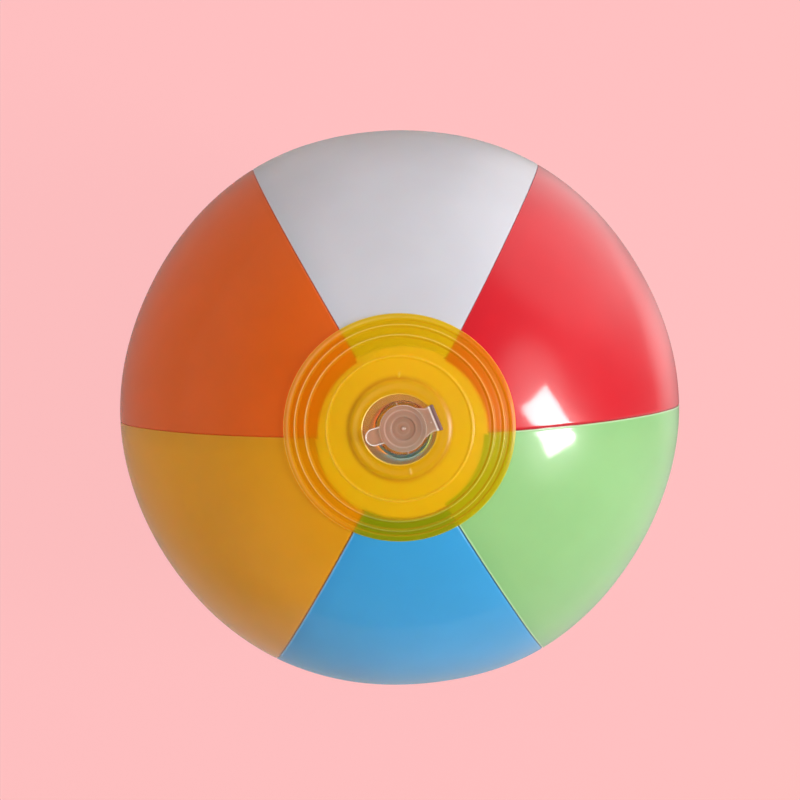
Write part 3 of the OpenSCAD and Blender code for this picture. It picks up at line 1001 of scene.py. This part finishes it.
def stage_floor():
    size = 6.0
    pts = [[-size / MM, -size / MM, 0], [size / MM, -size / MM, 0], [size / MM, size / MM, 0], [-size / MM, size / MM, 0]]
    obj = piece("floor", pts, [[0, 1, 2, 3]], [], smooth=False)
    obj.location.z = FLOOR - 0.0001
    m, nt, out = tree("floor_paint")
    path = nt.nodes.new("ShaderNodeLightPath")
    geo = nt.nodes.new("ShaderNodeNewGeometry")
    seen = nt.nodes.new("ShaderNodeEmission")
    seen.inputs["Color"].default_value = PINK
    seen.inputs["Strength"].default_value = 0.942
    lit = nt.nodes.new("ShaderNodeBsdfDiffuse")
    lit.inputs["Color"].default_value = tuple(c * 0.05 for c in PINK[:3]) + (1,)
    both = nt.nodes.new("ShaderNodeAddShader")
    nt.links.new(seen.outputs[0], both.inputs[0])
    nt.links.new(lit.outputs[0], both.inputs[1])
    plain = nt.nodes.new("ShaderNodeBsdfDiffuse")
    plain.inputs["Color"].default_value = (0.80, 0.77, 0.77, 1)
    glow = nt.nodes.new("ShaderNodeEmission")
    glow.inputs["Color"].default_value = (1.0, 0.97, 0.96, 1)
    bright = nt.nodes.new("ShaderNodeVectorMath")
    bright.operation = "DOT_PRODUCT"
    bright.inputs[1].default_value = (0.85, -0.5, 0)
    nt.links.new(geo.outputs["Position"], bright.inputs[0])
    spot = nt.nodes.new("ShaderNodeSeparateXYZ")
    nt.links.new(geo.outputs["Position"], spot.inputs[0])
    dimmed = nt.nodes.new("ShaderNodeMath")
    dimmed.operation = "MULTIPLY"
    nt.links.new(ranged(nt, bright.outputs["Value"], 0.32, 0.78, -0.16, 0.22), dimmed.inputs[0])
    nt.links.new(gap(nt, spot), dimmed.inputs[1])
    away = nt.nodes.new("ShaderNodeVectorMath")
    away.operation = "DISTANCE"
    away.inputs[1].default_value = (0.26, 0.045, -0.101)
    nt.links.new(geo.outputs["Position"], away.inputs[0])
    lit_spot = nt.nodes.new("ShaderNodeMath")
    lit_spot.operation = "ADD"
    ahead = nt.nodes.new("ShaderNodeVectorMath")
    ahead.operation = "NORMALIZE"
    nt.links.new(geo.outputs["Position"], ahead.inputs[0])
    far_side = nt.nodes.new("ShaderNodeMath")
    far_side.operation = "ADD"
    nt.links.new(dimmed.outputs[0], far_side.inputs[0])
    nt.links.new(patch(nt, ahead.outputs["Vector"], *SIDE_PATCH), far_side.inputs[1])
    nt.links.new(far_side.outputs[0], lit_spot.inputs[0])
    nt.links.new(ranged(nt, away.outputs["Value"], 0.9, 0.0, 0.03, 0.12), lit_spot.inputs[1])
    nt.links.new(lit_spot.outputs[0], glow.inputs["Strength"])
    shine = nt.nodes.new("ShaderNodeMixShader")
    nt.links.new(path.outputs["Is Glossy Ray"], shine.inputs[0])
    nt.links.new(plain.outputs[0], shine.inputs[1])
    nt.links.new(glow.outputs[0], shine.inputs[2])
    under = nt.nodes.new("ShaderNodeEmission")               # a lit table: what the film lets in from below
    under.inputs["Color"].default_value = (1.0, 0.98, 0.95, 1)
    reach = nt.nodes.new("ShaderNodeVectorMath")
    reach.operation = "LENGTH"
    nt.links.new(geo.outputs["Position"], reach.inputs[0])
    nt.links.new(ranged(nt, reach.outputs["Value"], 0.45, 6.8, 0.106, 0.138), under.inputs["Strength"])   # dark where the ball stands
    below = nt.nodes.new("ShaderNodeMixShader")
    scattered = nt.nodes.new("ShaderNodeMath")
    scattered.operation = "MULTIPLY"
    nt.links.new(path.outputs["Is Transmission Ray"], scattered.inputs[0])
    nt.links.new(path.outputs["Is Diffuse Ray"], scattered.inputs[1])
    nt.links.new(scattered.outputs[0], below.inputs[0])
    nt.links.new(shine.outputs[0], below.inputs[1])
    nt.links.new(under.outputs[0], below.inputs[2])
    pick = nt.nodes.new("ShaderNodeMixShader")
    nt.links.new(path.outputs["Is Camera Ray"], pick.inputs[0])
    nt.links.new(below.outputs[0], pick.inputs[1])
    nt.links.new(both.outputs[0], pick.inputs[2])
    none = nt.nodes.new("ShaderNodeBsdfTransparent")
    side = nt.nodes.new("ShaderNodeMixShader")
    nt.links.new(geo.outputs["Backfacing"], side.inputs[0])
    nt.links.new(pick.outputs[0], side.inputs[1])
    nt.links.new(none.outputs[0], side.inputs[2])
    nt.links.new(side.outputs[0], out.inputs["Surface"])
    obj.data.materials.append(m)
    obj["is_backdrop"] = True


stage_floor()

world = bpy.data.worlds.new("sky")
scene.world = world
world.use_nodes = True
nt = world.node_tree
nt.nodes.clear()
out = nt.nodes.new("ShaderNodeOutputWorld")
path = nt.nodes.new("ShaderNodeLightPath")
soft = nt.nodes.new("ShaderNodeBackground")
soft.inputs["Color"].default_value = (1.0, 0.985, 0.97, 1)
where = nt.nodes.new("ShaderNodeTexCoord")
parts = nt.nodes.new("ShaderNodeSeparateXYZ")
nt.links.new(where.outputs["Generated"], parts.inputs[0])
side = nt.nodes.new("ShaderNodeVectorMath")
side.operation = "DOT_PRODUCT"
side.inputs[1].default_value = tuple(towards(30, 2))
nt.links.new(where.outputs["Generated"], side.inputs[0])
over = ranged(nt, parts.outputs["Z"], 1.0, 0.25, 0.25, 0.8)
mul = nt.nodes.new("ShaderNodeMath")
mul.operation = "MULTIPLY"
nt.links.new(ranged(nt, side.outputs["Value"], 0.42, 0.70, -0.15, 0.75), mul.inputs[0])   # a bright side, the rest dim
nt.links.new(over, mul.inputs[1])
mul2 = nt.nodes.new("ShaderNodeMath")
mul2.operation = "MULTIPLY"
nt.links.new(mul.outputs[0], mul2.inputs[0])
nt.links.new(gap(nt, parts), mul2.inputs[1])


total = mul2.outputs[0]
sky = where.outputs["Generated"]
for extra in (patch(nt, sky, 12, 38, (0.952, 1.01), 2.6), patch(nt, sky, -14, 28, (0.95, 1.01), 2.2), patch(nt, sky, *SIDE_PATCH)):
    add = nt.nodes.new("ShaderNodeMath")
    add.operation = "ADD"
    nt.links.new(total, add.inputs[0])
    nt.links.new(extra, add.inputs[1])
    total = add.outputs[0]
nt.links.new(total, soft.inputs["Strength"])
back = nt.nodes.new("ShaderNodeBackground")
back.inputs["Color"].default_value = PINK
back.inputs["Strength"].default_value = 1.0
pick = nt.nodes.new("ShaderNodeMixShader")
nt.links.new(path.outputs["Is Camera Ray"], pick.inputs[0])
nt.links.new(soft.outputs[0], pick.inputs[1])
nt.links.new(back.outputs[0], pick.inputs[2])
nt.links.new(pick.outputs[0], out.inputs["Surface"])


def lamp(name, az, el, far, wide, high, radiance, colour=(1, 1, 1), spin=0.0, shape="RECTANGLE"):
    """A soft flat lamp in a direction of the picture, aimed at the ball."""
    data = bpy.data.lights.new(name, "AREA")
    data.shape = shape
    data.size, data.size_y = wide, high
    data.energy = radiance * math.pi * wide * high
    data.color = colour
    obj = bpy.data.objects.new(name, data)
    scene.collection.objects.link(obj)
    d = towards(az, el)
    z = d
    x = cy.cross(z).normalized()
    y = z.cross(x)
    m = Matrix((x, y, z)).transposed() @ Matrix.Rotation(math.radians(spin), 3, "Z")
    obj.matrix_world = Matrix.Translation(d * far) @ m.to_4x4()
    obj.visible_camera = False
    return obj


lamp("window", -6, 34.5, 1.2, 0.26, 0.46, 35.0, spin=37)
lamp("window_low", -11, 25, 1.2, 0.11, 0.11, 18.0, shape="ELLIPSE")
lamp("ceiling", 120, 78, 1.6, 1.8, 1.8, 1.2).visible_glossy = False
lamp("fill", 195, 18, 1.6, 1.4, 2.2, 0.8).visible_glossy = False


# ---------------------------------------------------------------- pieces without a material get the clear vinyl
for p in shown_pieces():
    if not p.data.materials or p.data.materials[0] is None:
        p.data.materials.clear()
        p.data.materials.append(clear_vinyl)
bpy.context.view_layer.update()
